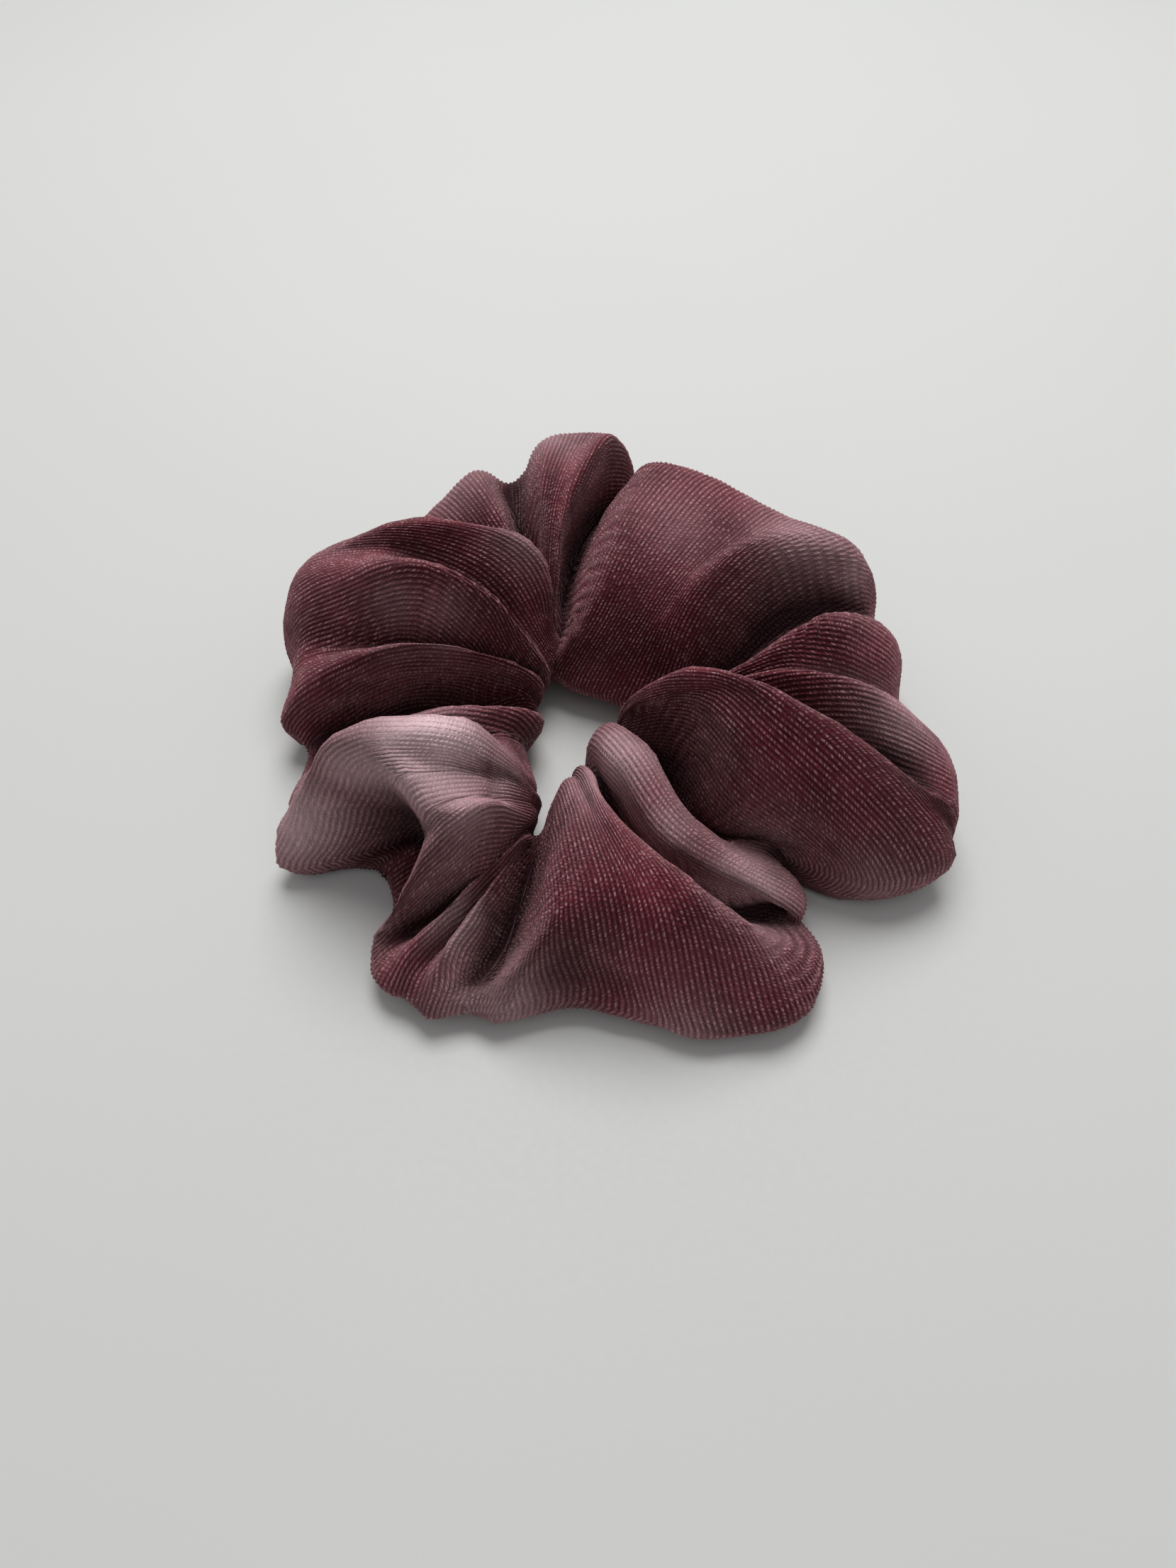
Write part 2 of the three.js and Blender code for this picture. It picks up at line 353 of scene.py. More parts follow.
class SharedEffects:
    """The node groups that more than one finish uses, each built once."""

    def __init__(self) -> None:
        """Starts with no group built."""
        self.built: dict[str, bpy.types.NodeTree] = {}

    def _group(
        self,
        name: str,
        inputs: tuple[tuple[str, str, float], ...],
        outputs: tuple[tuple[str, str], ...],
    ) -> tuple[Graph, bpy.types.Node, bpy.types.Node]:
        """Makes an empty group with its sockets.

        Args:
            name: The group's name.
            inputs: Each input's name, socket type and default.
            outputs: Each output's name and socket type.

        Returns:
            The group's graph, its input node and its output node.
        """
        tree = bpy.data.node_groups.new(name, "ShaderNodeTree")
        for label, kind, default in inputs:
            socket = tree.interface.new_socket(label, in_out="INPUT", socket_type=kind)
            if kind == "NodeSocketFloat":
                socket.default_value = default
        for label, kind in outputs:
            tree.interface.new_socket(label, in_out="OUTPUT", socket_type=kind)
        graph = Graph(tree)
        self.built[name] = tree
        return graph, graph.node("NodeGroupInput"), graph.node("NodeGroupOutput")

    def place(self, graph: Graph, name: str, **values: object) -> bpy.types.Node:
        """Puts a shared group into a material.

        Args:
            graph: The material's graph.
            name: The group's name.
            values: Values or sockets for its inputs, with _ for a space.

        Returns:
            The group's node.
        """
        made = graph.node("Group", node_tree=self.built[name])
        for label, value in values.items():
            graph.feed(made.inputs[label.replace("_", " ")], value)
        return made

    def build_rib_weave(self) -> None:
        """Builds the ribs, the short loops along each rib and a painted glint on the lit loops.

        Strip holds the distance across the ribs in X and along them in Y, in mm.
        """
        vector, number = "NodeSocketVector", "NodeSocketFloat"
        inputs = (
            ("Strip", vector, 0.0),
            ("Pitch", number, 1.0),
            ("Course", number, 0.7),
            ("Wander", number, 0.1),
        )
        outputs = (("Height", number), ("Crest", number), ("Painted glint", number))
        graph, source, sink = self._group("rib_weave", inputs, outputs)
        parts = graph.node("SeparateXYZ")
        graph.feed(parts.inputs[0], source.outputs["Strip"])
        drift = graph.math("SUBTRACT", graph.noise(source.outputs["Strip"], 0.9, 1.0), 0.5)
        wander = graph.math("MULTIPLY", drift, source.outputs["Wander"])
        ribs = graph.math("DIVIDE", parts.outputs[0], source.outputs["Pitch"])
        across = graph.math("ADD", ribs, wander)
        wave = graph.math("COSINE", graph.math("MULTIPLY", across, math.tau))
        crest = graph.math("MULTIPLY_ADD", wave, 0.5, 0.5)
        rib_number = graph.math("FLOOR", graph.math("ADD", across, 0.5))
        shift = graph.node("TexWhiteNoise", noise_dimensions="1D")
        graph.feed(shift.inputs["W"], rib_number)
        slip = graph.math("MULTIPLY", graph.noise(source.outputs["Strip"], 0.55, 1.0), 2.4)
        along = graph.math("DIVIDE", parts.outputs[1], source.outputs["Course"])
        along = graph.math("ADD", graph.math("ADD", along, shift.outputs["Value"]), slip)
        loop_number = graph.math("FLOOR", along)
        loop = graph.math("SINE", graph.math("MULTIPLY", graph.math("FRACT", along), math.pi))
        cell = graph.node("CombineXYZ")
        graph.feed(cell.inputs[0], rib_number)
        graph.feed(cell.inputs[1], loop_number)
        chance = graph.node("TexWhiteNoise", noise_dimensions="2D")
        graph.feed(chance.inputs["Vector"], cell.outputs[0])
        # painted glint: random loops near the rib crests, to be coloured as bright specks
        lit = graph.remap(graph.math("MULTIPLY", loop, crest), 0.25, 0.9, 0.0, 1.0)
        painted_glint = graph.math("MULTIPLY", lit, chance.outputs["Value"])
        loops = graph.math("MULTIPLY", loop, crest)
        height = graph.math("MULTIPLY_ADD", loops, 0.55, graph.math("MULTIPLY", crest, 0.45))
        graph.feed(sink.inputs["Height"], height)
        graph.feed(sink.inputs["Crest"], crest)
        graph.feed(sink.inputs["Painted glint"], painted_glint)

    def build_fibre_fuzz(self) -> None:
        """Builds fine fibre noise and a slow drift of shade, in the object's own metres."""
        number = "NodeSocketFloat"
        inputs = (("Fine", number, 4000.0), ("Broad", number, 60.0))
        graph, source, sink = self._group("fibre_fuzz", inputs, (("Fibre", number), ("Drift", number)))
        place = graph.node("TexCoord").outputs["Object"]
        for given, label, detail in (("Fine", "Fibre", 2.0), ("Broad", "Drift", 3.0)):
            graph.feed(sink.inputs[label], graph.noise(place, source.outputs[given], detail))

    def build_all(self) -> None:
        """Builds every shared group."""
        self.build_rib_weave()
        self.build_fibre_fuzz()


class Finisher:
    """Makes each material from its finish."""

    def __init__(self, effects: SharedEffects) -> None:
        """Keeps the shared effects that the materials place."""
        self.effects = effects

    def _start(self, name: str) -> tuple[bpy.types.Material, Graph, bpy.types.Node]:
        """Makes an empty Principled material.

        Args:
            name: The material's name.

        Returns:
            The material, its graph and its shader.
        """
        material = bpy.data.materials.new(name)
        material.use_nodes = True
        graph = Graph(material.node_tree)
        return material, graph, material.node_tree.nodes["Principled BSDF"]

    def _bump(self, graph: Graph, shader: bpy.types.Node, height: object, distance: float) -> None:
        """Feeds a height to the shader's normal.

        Args:
            graph: The material's graph.
            shader: Its shader.
            height: The height, 0 to 1.
            distance: How high 1 is, in metres.
        """
        bump = graph.node("Bump")
        bump.inputs["Distance"].default_value = distance
        graph.feed(bump.inputs["Height"], height)
        graph.feed(shader.inputs["Normal"], bump.outputs[0])

    def _fibred(self, graph: Graph, fuzz: bpy.types.Node, low: float, high: float) -> bpy.types.NodeSocket:
        """Spreads a value over the fibres.

        Args:
            graph: The material's graph.
            fuzz: Its fibre_fuzz node.
            low: The value between the fibres.
            high: The value on them.

        Returns:
            The value.
        """
        return graph.remap(fuzz.outputs["Fibre"], 0.3, 0.7, low, high)

    def velvet(self, finish: VelvetFinish) -> bpy.types.Material:
        """Makes the cover's velvet.

        Args:
            finish: Its colours, sheen and rib sizes.

        Returns:
            The material.
        """
        material, graph, shader = self._start("ribbed_velvet")
        strip = graph.node("Attribute", attribute_name="strip")
        nap_sheen = graph.node("Attribute", attribute_name="nap_sheen")
        weave = self.effects.place(
            graph,
            "rib_weave",
            Strip=strip.outputs["Vector"],
            Pitch=finish.rib_pitch,
            Course=finish.course_pitch,
            Wander=RIB_WANDER,
        )
        fuzz = self.effects.place(graph, "fibre_fuzz", Fine=3600.0, Broad=75.0)
        drift = graph.remap(fuzz.outputs["Drift"], 0.35, 0.68, 0.0, 1.0)
        ground = graph.mix(graph.math("MULTIPLY_ADD", drift, 0.6, 0.15), finish.deep, finish.body)
        patchy = graph.remap(fuzz.outputs["Drift"], 0.25, 0.6, 0.6, 1.0)
        # painted sheen of the brushed pile, as a lighter base colour
        brushed_sheen = graph.math("MULTIPLY", nap_sheen.outputs["Fac"], patchy)
        nap_sheen_painted = graph.mix(brushed_sheen, ground, finish.brushed_sheen)
        # painted sheen: the base colour turns dusty pink where the cloth is seen edge on
        edge_on = graph.node("LayerWeight")
        edge_on.inputs["Blend"].default_value = finish.edge_sheen_blend
        sparkle = graph.math("MULTIPLY_ADD", weave.outputs["Painted glint"], 0.6, 0.4)
        painted_edge_sheen = graph.math("MULTIPLY", edge_on.outputs["Facing"], sparkle)
        edged = graph.mix(graph.math("MULTIPLY", painted_edge_sheen, finish.edge_sheen_strength), nap_sheen_painted, finish.edge)
        # painted glint: bright pink specks on the loops
        painted_glint = graph.math("MULTIPLY", weave.outputs["Painted glint"], finish.painted_glint_strength)
        glint_painted = graph.mix(painted_glint, edged, finish.painted_glint)
        # painted shade in the rib grooves, less where brushed pile lies over them
        groove_shade = graph.remap(weave.outputs["Crest"], 0.0, 0.6, 1.0, 0.0)
        laid_over = graph.math("MULTIPLY_ADD", nap_sheen.outputs["Fac"], -finish.nap_cover, 1.0)
        groove_shade = graph.math("MULTIPLY", groove_shade, laid_over)
        groove_shade = graph.math("MULTIPLY", groove_shade, self._fibred(graph, fuzz, 0.45, 1.0))
        groove_shade = graph.math("MULTIPLY", groove_shade, finish.groove_shade_depth)
        shadowed = graph.mix(groove_shade, glint_painted, finish.groove_shade)
        # painted shade: the base colour goes near black in the cloth's creases and hollows
        hollow_shade = graph.node("Attribute", attribute_name="hollow_shade")
        deep = graph.math("MULTIPLY", hollow_shade.outputs["Fac"], finish.hollow_shade_strength)
        graph.feed(shader.inputs["Base Color"], graph.mix(deep, shadowed, finish.groove_shade))
        graph.feed(shader.inputs["Roughness"], self._fibred(graph, fuzz, 0.62, 0.92))
        shader.inputs["Sheen Weight"].default_value = finish.sheen_weight
        shader.inputs["Sheen Roughness"].default_value = finish.sheen_roughness
        shader.inputs["Sheen Tint"].default_value = (*finish.sheen_tint, 1.0)
        shader.inputs["Specular IOR Level"].default_value = finish.specular
        fibre = graph.math("MULTIPLY", fuzz.outputs["Fibre"], 0.45)
        height = graph.math("ADD", weave.outputs["Height"], fibre)
        self._bump(graph, shader, height, finish.bump_height * MM)
        return material

    def thread(self, name: str, finish: ThreadFinish) -> bpy.types.Material:
        """Makes a sewing thread.

        Args:
            name: The material's name.
            finish: Its colours and twist.

        Returns:
            The material.
        """
        material, graph, shader = self._start(name)
        fuzz = self.effects.place(graph, "fibre_fuzz", Fine=finish.twist_scale, Broad=300.0)
        twist = graph.node("TexWave", bands_direction="DIAGONAL")
        graph.feed(twist.inputs["Vector"], graph.node("TexCoord").outputs["Object"])
        twist.inputs["Scale"].default_value = finish.twist_scale
        twist.inputs["Distortion"].default_value = 1.5
        drift = graph.math("MULTIPLY", fuzz.outputs["Drift"], 0.4)
        shade = graph.math("MULTIPLY_ADD", twist.outputs["Fac"], 0.6, drift)
        graph.feed(shader.inputs["Base Color"], graph.mix(shade, finish.dark, finish.light))
        low, high = finish.roughness - 0.1, finish.roughness + 0.15
        graph.feed(shader.inputs["Roughness"], self._fibred(graph, fuzz, low, high))
        shader.inputs["Sheen Weight"].default_value = 0.2
        self._bump(graph, shader, twist.outputs["Fac"], 0.06 * MM)
        return material

    def elastic(self, finish: ElasticFinish) -> bpy.types.Material:
        """Makes the braided elastic.

        Args:
            finish: Its colours and yarn size.

        Returns:
            The material.
        """
        material, graph, shader = self._start("braided_elastic")
        strip = graph.node("Attribute", attribute_name="strip")
        weave = self.effects.place(
            graph,
            "rib_weave",
            Strip=strip.outputs["Vector"],
            Pitch=finish.yarn_pitch,
            Course=finish.yarn_length,
            Wander=0.05,
        )
        fuzz = self.effects.place(graph, "fibre_fuzz", Fine=3000.0, Broad=120.0)
        drift = graph.math("MULTIPLY", fuzz.outputs["Drift"], 0.2)
        # painted shade: low parts of the braid take the darker gap colour
        shade = graph.math("MULTIPLY_ADD", weave.outputs["Height"], 0.85, drift)
        graph.feed(shader.inputs["Base Color"], graph.mix(shade, finish.gap, finish.yarn))
        graph.feed(shader.inputs["Roughness"], self._fibred(graph, fuzz, finish.roughness, 0.9))
        shader.inputs["Sheen Weight"].default_value = 0.1
        self._bump(graph, shader, weave.outputs["Height"], 0.25 * MM)
        return material

    def floor(self, finish: FloorFinish) -> bpy.types.Material:
        """Makes the floor's matt laminate.

        Args:
            finish: Its colours.

        Returns:
            The material.
        """
        material, graph, shader = self._start("pale_laminate")
        fuzz = self.effects.place(graph, "fibre_fuzz", Fine=900.0, Broad=6.0)
        clouded = graph.mix(fuzz.outputs["Drift"], finish.colour, finish.cloudy)
        graph.feed(shader.inputs["Base Color"], clouded)
        low, high = finish.roughness, finish.roughness + 0.12
        graph.feed(shader.inputs["Roughness"], self._fibred(graph, fuzz, low, high))
        shader.inputs["Specular IOR Level"].default_value = 0.3
        self._bump(graph, shader, fuzz.outputs["Fibre"], 0.01 * MM)
        return material


# ---------------------------------------------------------------- curves and grids


def unit(vectors: np.ndarray) -> np.ndarray:
    """Scales vectors to a length of 1."""
    return vectors / np.maximum(np.linalg.norm(vectors, axis=-1, keepdims=True), 1e-9)


def steps_round(points: np.ndarray, axis: int = 0) -> np.ndarray:
    """Measures the step from each point to the next one round a closed axis."""
    return np.linalg.norm(np.roll(points, -1, axis) - points, axis=-1)


def travel(route: np.ndarray) -> np.ndarray:
    """Measures how far each point is along an open route."""
    return np.concatenate([[0.0], np.cumsum(np.linalg.norm(np.diff(route, axis=0), axis=1))])


def read_at(at: np.ndarray, travelled: np.ndarray, route: np.ndarray) -> np.ndarray:
    """Reads a route's values at given distances.

    Args:
        at: The distances to read at.
        travelled: The distance of each of the route's rows.
        route: The route, one row of values for each distance.

    Returns:
        A row of values for each distance read.
    """
    return np.stack([np.interp(at, travelled, values) for values in route.T], 1)


def hermite(points: tuple[np.ndarray, ...], spans: tuple[np.ndarray, ...], steps: int) -> np.ndarray:
    """Runs the middle stretch of a curve through four points, with knots set by the spans.

    Args:
        points: The points before the stretch, at its start, at its end and after it.
        spans: The knot spans of the three stretches.
        steps: How many points to make, the end left out.

    Returns:
        The points, with the steps first.
    """
    before, start, end, after = points
    first, here, last = spans
    leave = ((start - before) / first - (end - before) / (first + here) + (end - start) / here) * here
    reach = ((end - start) / here - (after - start) / (here + last) + (after - end) / last) * here
    u = (np.arange(steps) / steps).reshape((-1,) + (1,) * start.ndim)
    return (
        (2 * u**3 - 3 * u**2 + 1) * start
        + (u**3 - 2 * u**2 + u) * leave
        + (3 * u**2 - 2 * u**3) * end
        + (u**3 - u**2) * reach
    )


def closed_curve(points: np.ndarray, steps: int, evenness: float = 0.0) -> np.ndarray:
    """Runs a smooth closed curve through rows of points.

    Args:
        points: The points, the first axis going round the curve.
        steps: How many points each stretch gets.
        evenness: 0 spaces the knots by each row's own chords, 1 by their median.

    Returns:
        The curve's points, steps times as many as were given.
    """
    count = len(points)
    chords = np.sqrt(np.maximum(steps_round(points)[..., None], 1.0))
    if evenness:
        chords = (1 - evenness) * chords + evenness * np.median(chords, axis=1, keepdims=True)
    stretches = []
    for start in range(count):
        near = [k % count for k in range(start - 1, start + 3)]
        stretches.append(hermite(tuple(points[near]), tuple(chords[near[:3]]), steps))
    return np.concatenate(stretches)


def spaced_evenly(curve: np.ndarray, count: int) -> np.ndarray:
    """Puts points at even distances round a closed curve.

    Args:
        curve: The curve's points.
        count: How many points to make.

    Returns:
        The new points.
    """
    ring = np.vstack([curve, curve[:1]])
    travelled = travel(ring)
    return read_at(np.linspace(0.0, travelled[-1], count, endpoint=False), travelled, ring)


def resample_closed(grid: np.ndarray, count: int) -> np.ndarray:
    """Puts an interpolating cubic spline through a closed grid's first axis.

    Args:
        grid: The grid, closed along its first axis.
        count: How many points the new first axis has.

    Returns:
        The new grid.
    """
    have = len(grid)
    kernel = (4 + 2 * np.cos(math.tau * np.arange(have) / have)) / 6
    weights = np.fft.ifft(np.fft.fft(grid, axis=0) / kernel[:, None, None], axis=0).real
    at = np.arange(count) * have / count
    low = np.floor(at).astype(int)
    f = (at - low)[:, None, None]
    basis = ((1 - f) ** 3, 3 * f**3 - 6 * f**2 + 4, -3 * f**3 + 3 * f**2 + 3 * f + 1, f**3)
    return sum(b * weights[(low + k - 1) % have] for k, b in enumerate(basis)) / 6


def eased_round(values: np.ndarray, reach: float) -> np.ndarray:
    """Smooths values that run round a closed loop.

    Args:
        values: The values, closed along their first axis.
        reach: How many steps the smoothing reaches.

    Returns:
        The smoothed values.
    """
    away = np.fft.fftfreq(len(values), 1 / len(values))
    kernel = np.fft.fft(np.exp(-0.5 * (away / reach) ** 2))
    weights = (kernel / kernel[0]).reshape(-1, *[1] * (values.ndim - 1))
    return np.fft.ifft(np.fft.fft(values, axis=0) * weights, axis=0).real


def outward_normals(grid: np.ndarray) -> np.ndarray:
    """Finds the unit normals of a grid closed both ways.

    Args:
        grid: The grid's points, the strip's length first.

    Returns:
        A unit normal for each point.
    """
    along = np.roll(grid, -1, 0) - np.roll(grid, 1, 0)
    around = np.roll(grid, -1, 1) - np.roll(grid, 1, 1)
    normal = unit(np.cross(along, around))
    middle = grid.mean(axis=1, keepdims=True)
    outward = np.sign(np.sum(normal * (grid - middle)))
    return normal * (outward or 1.0)


def soft_waves(points: np.ndarray, lengths: tuple[float, float], count: int, seed: int) -> np.ndarray:
    """Makes a smooth random field out of plane waves.

    Args:
        points: Where it is read, in mm.
        lengths: The shortest and longest wave, in mm.
        count: How many waves to add.
        seed: The seed of their directions.

    Returns:
        The field, about -1 to 1.
    """
    chance = np.random.default_rng(seed)
    total = np.zeros(points.shape[:-1])
    for _ in range(count):
        direction = chance.normal(size=3)
        direction *= math.tau / chance.uniform(*lengths) / np.linalg.norm(direction)
        total += np.sin(points @ direction + chance.uniform(0, math.tau))
    return total * math.sqrt(2.0 / count) / 2.0


def mesh_object(name: str, points: np.ndarray, faces: np.ndarray) -> bpy.types.Object:
    """Makes a smooth mesh object.

    Args:
        name: The piece's name.
        points: Its points, in mm.
        faces: Its faces, each a row of as many point numbers.

    Returns:
        The object, linked to the scene.
    """
    mesh = bpy.data.meshes.new(name)
    mesh.vertices.add(len(points))
    mesh.vertices.foreach_set("co", (np.asarray(points) * MM).astype(np.float32).ravel())
    mesh.loops.add(faces.size)
    mesh.loops.foreach_set("vertex_index", faces.astype(np.int32).ravel())
    mesh.polygons.add(len(faces))
    mesh.polygons.foreach_set("loop_start", np.arange(0, faces.size, faces.shape[1], dtype=np.int32))
    mesh.update(calc_edges=True)
    mesh.polygons.foreach_set("use_smooth", np.ones(len(faces), dtype=bool))
    made = bpy.data.objects.new(name, mesh)
    bpy.context.scene.collection.objects.link(made)
    return made


def grid_faces(columns: int, rows: int, closed_columns: bool, closed_rows: bool) -> np.ndarray:
    """Lists the quads of a grid of points.

    Args:
        columns: How many points its first axis has.
        rows: How many its second axis has.
        closed_columns: Whether the last column joins the first.
        closed_rows: Whether the last row joins the first.

    Returns:
        The quads' point numbers.
    """
    i = np.arange(columns if closed_columns else columns - 1)[:, None]
    j = np.arange(rows if closed_rows else rows - 1)[None, :]
    i_next, j_next = (i + 1) % columns, (j + 1) % rows
    corners = (i * rows + j, i_next * rows + j, i_next * rows + j_next, i * rows + j_next)
    return np.stack([np.broadcast_to(c, (i.size, j.size)).ravel() for c in corners], 1)


def flat_square(name: str, half: float) -> bpy.types.Object:
    """Makes a flat square on the ground, half being half its side in mm."""
    corners = np.array([(-half, -half, 0), (half, -half, 0), (half, half, 0), (-half, half, 0)], float)
    return mesh_object(name, corners, np.array([[0, 1, 2, 3]]))


def keep_values(piece: bpy.types.Object, name: str, values: np.ndarray) -> None:
    """Stores a value or a vector at each of a mesh's points, for its material to read.

    Args:
        piece: The mesh's object.
        name: The attribute's name.
        values: One row of 1 or 3 numbers for each point.
    """
    kind, label = ("FLOAT", "value") if values.shape[-1] == 1 else ("FLOAT_VECTOR", "vector")
    made = piece.data.attributes.new(name, kind, "POINT")
    made.data.foreach_set(label, values.astype(np.float32).ravel())


# ---------------------------------------------------------------- the velvet cover


@dataclass
class FoldNet:
    """The gathered cloth's shape, laid out as fold lines round the hole.

    The nose is the section's inner end and the rim its outer end. Each bulges a little
    past its fold spot, at a share of the spot's height, before it turns under.
    """

    folds: tuple[Fold, ...] = FOLDS
    centre: tuple[float, float] = (-4.04, 0.83)
    seam_set_in: float = 3.5
    nose_bulge: float = 1.5
    nose_share: float = 0.55
    rim_bulge: float = 0.5
    rim_share: float = 0.52
    rim_turned_under: float = 2.0
    fine: int = 24
    section_fine: int = 40
    share_of_rows: float = 70.0

    def place(self, spot: Spot) -> np.ndarray:
        """Turns a spot's bearing and reach into x and y."""
        bearing = math.radians(spot[0])
        return np.array(self.centre) + spot[1] * np.array([math.cos(bearing), math.sin(bearing)])

    def section(self, fold: Fold, rows: int) -> np.ndarray:
        """Draws the closed section of the tube along a fold line, starting at the long seam.

        Args:
            fold: The fold line over the top.
            rows: How many points to make.

        Returns:
            The section's points.
        """
        spots = (fold.nose, fold.shoulder, fold.crown, fold.rim)
        nose, shoulder, crown, rim = (self.place(spot) for spot in spots)
        heights = [spot[2] for spot in spots]
        inward, outward = unit(nose - shoulder), unit(rim - crown)
        lift = 0.8 if fold.kind is CREST else 2.2
        drawn_back = 3.0 if fold.kind is CREST else 2.0
        points = (
            (*(nose - inward * self.seam_set_in), lift + 0.5),
            (*(nose + inward * self.nose_bulge), heights[0] * self.nose_share),
            (*nose, heights[0]),
            (*shoulder, heights[1]),
            (*crown, heights[2]),
            (*(rim - outward * drawn_back), heights[3]),
            (*(rim + outward * self.rim_bulge), heights[3] * self.rim_share),
            (*(rim - outward * self.rim_turned_under), lift),
            (*(crown + rim) / 2, lift / 2),
            (*(shoulder + crown) / 2, lift / 2),
        )
        return spaced_evenly(closed_curve(np.array(points), self.section_fine), rows)

    def grid(self, columns: int, rows: int) -> tuple[np.ndarray, float, np.ndarray]:
        """Runs the cloth through every fold line's section.

        Args:
            columns: How many points go along the strip.
            rows: How many go round the tube.

        Returns:
            The grid, the strip's length, and each fold's place along it from 0 to 1.
        """
        sections = np.array([self.section(fold, rows) for fold in self.folds])
        cloth = closed_curve(sections, self.fine, evenness=0.5)
        steps = np.percentile(steps_round(cloth), self.share_of_rows, axis=1)
        travelled = np.concatenate([[0.0], np.cumsum(steps)])
        length = travelled[-1]
        ring = np.concatenate([cloth, cloth[:1]])
        at = np.linspace(0.0, length, columns, endpoint=False)
        grid = read_at(at, travelled, ring.reshape(len(ring), -1))
        return grid.reshape(columns, rows, 3), length, travelled[: -1 : self.fine] / length


VELVET_CLOTH = {
    "quality": 5,
    "mass": 0.3,
    "tension_stiffness": 15,
    "compression_stiffness": 3,
    "shear_stiffness": 3,
    "bending_stiffness": 10,
    "tension_damping": 10,
    "compression_damping": 10,
    "shear_damping": 10,
    "bending_damping": 1,
    "air_damping": 2,
    "pin_stiffness": 1.0,
}
VELVET_TOUCH = {
    "distance_min": 0.02,
    "collision_quality": 3,
    "use_self_collision": True,
    "self_distance_min": 0.02,
    "self_friction": 3,
}


@dataclass
class ClothSettling:
    """A short cloth simulation that lets the velvet gather and crease by itself."""

    columns: int = 176
    rows: int = 44
    frames: int = 16
    scale: float = 20.0
    hold: float = 0.3
    own_length: float = 0.6
    kept: float = 0.75
    ease: float = 1.2
    furthest: float = 4.0

    def _rest_shape(self, grid: np.ndarray, length: float, width: float) -> np.ndarray:
        """Stands the strip up as a flattened ring, which gives the cloth its unstretched lengths.

        Args:
            grid: The laid-out cloth.
            length: The strip's length.
            width: The tube's size round its section.

        Returns:
            The points of the unstretched cloth.
        """
        columns, rows = grid.shape[:2]
        own = steps_round(grid).sum(0)
        around = (1 - self.own_length) * length + self.own_length * own
        turn = np.arange(columns) / columns * math.tau
        side = np.where(np.arange(rows) < rows / 2, 0.4, -0.4)
        radius = around / math.tau + side
        height = np.abs(np.arange(rows) / rows - 0.5) * width
        tall = np.broadcast_to(height, (columns, rows))
        return np.stack([np.outer(np.cos(turn), radius), np.outer(np.sin(turn), radius), tall], 2)

    def _dress(self, piece: bpy.types.Object, rest: bpy.types.ShapeKey) -> None:
        """Adds the Cloth modifier.

        Args:
            piece: The laid-out cloth.
            rest: Its unstretched shape.
        """
        group = piece.vertex_groups.new(name="held")
        group.add(list(range(len(piece.data.vertices))), self.hold**0.25, "REPLACE")
        cloth = piece.modifiers.new("settling", "CLOTH")
        for kept, values in ((cloth.settings, VELVET_CLOTH), (cloth.collision_settings, VELVET_TOUCH)):
            for name, value in values.items():
                setattr(kept, name, value)
        cloth.settings.vertex_group_mass = group.name
        cloth.settings.rest_shape_key = rest
        cloth.point_cache.frame_start = 1
        cloth.point_cache.frame_end = self.frames

    def settle(self, grid: np.ndarray, length: float) -> np.ndarray:
        """Runs the simulation, then takes its cloth and floor away again.

        Args:
            grid: The laid-out cloth, closed both ways.
            length: The strip's length.

        Returns:
            The settled cloth.
        """
        width = float(steps_round(grid, 1).sum(1).mean())
        faces = grid_faces(*grid.shape[:2], True, True)
        piece = mesh_object("settling_cloth", grid.reshape(-1, 3) * self.scale, faces)
        piece.shape_key_add(name="laid_out")
        rest = piece.shape_key_add(name="unstretched")
        shape = self._rest_shape(grid, length, width) * self.scale * MM
        rest.data.foreach_set("co", shape.astype(np.float32).ravel())
        rest.value = 0.0
        self._dress(piece, rest)
        ground = flat_square("settling_ground", GROUND_HALF * self.scale)
        ground.modifiers.new("ground", "COLLISION")
        ground.collision.thickness_outer = 0.01
        scene = bpy.context.scene
        scene.frame_start, scene.frame_end = 1, self.frames
        for number in range(1, self.frames + 1):
            scene.frame_set(number)
        settled = piece.evaluated_get(bpy.context.evaluated_depsgraph_get()).to_mesh()
        points = np.empty(grid.size, np.float32)
        settled.vertices.foreach_get("co", points)
        scene.frame_set(1)
        for used in (piece, ground):
            bpy.data.objects.remove(used)
        moved = points.reshape(grid.shape).astype(float) / (self.scale * MM) - grid
        reach = np.linalg.norm(moved, axis=2, keepdims=True)
        moved *= np.minimum(1.0, self.furthest / np.maximum(reach, 1e-9))
        log.info("cloth settled, %.1f mm at most", float(reach.max()))
        return grid + self._eased(moved) * self.kept

    def _eased(self, moved: np.ndarray) -> np.ndarray:
        """Takes the finest puckers out of the cloth's movement, which thick velvet doesn't have."""
        along = eased_round(moved, self.ease)
        return eased_round(along.transpose(1, 0, 2), self.ease).transpose(1, 0, 2)


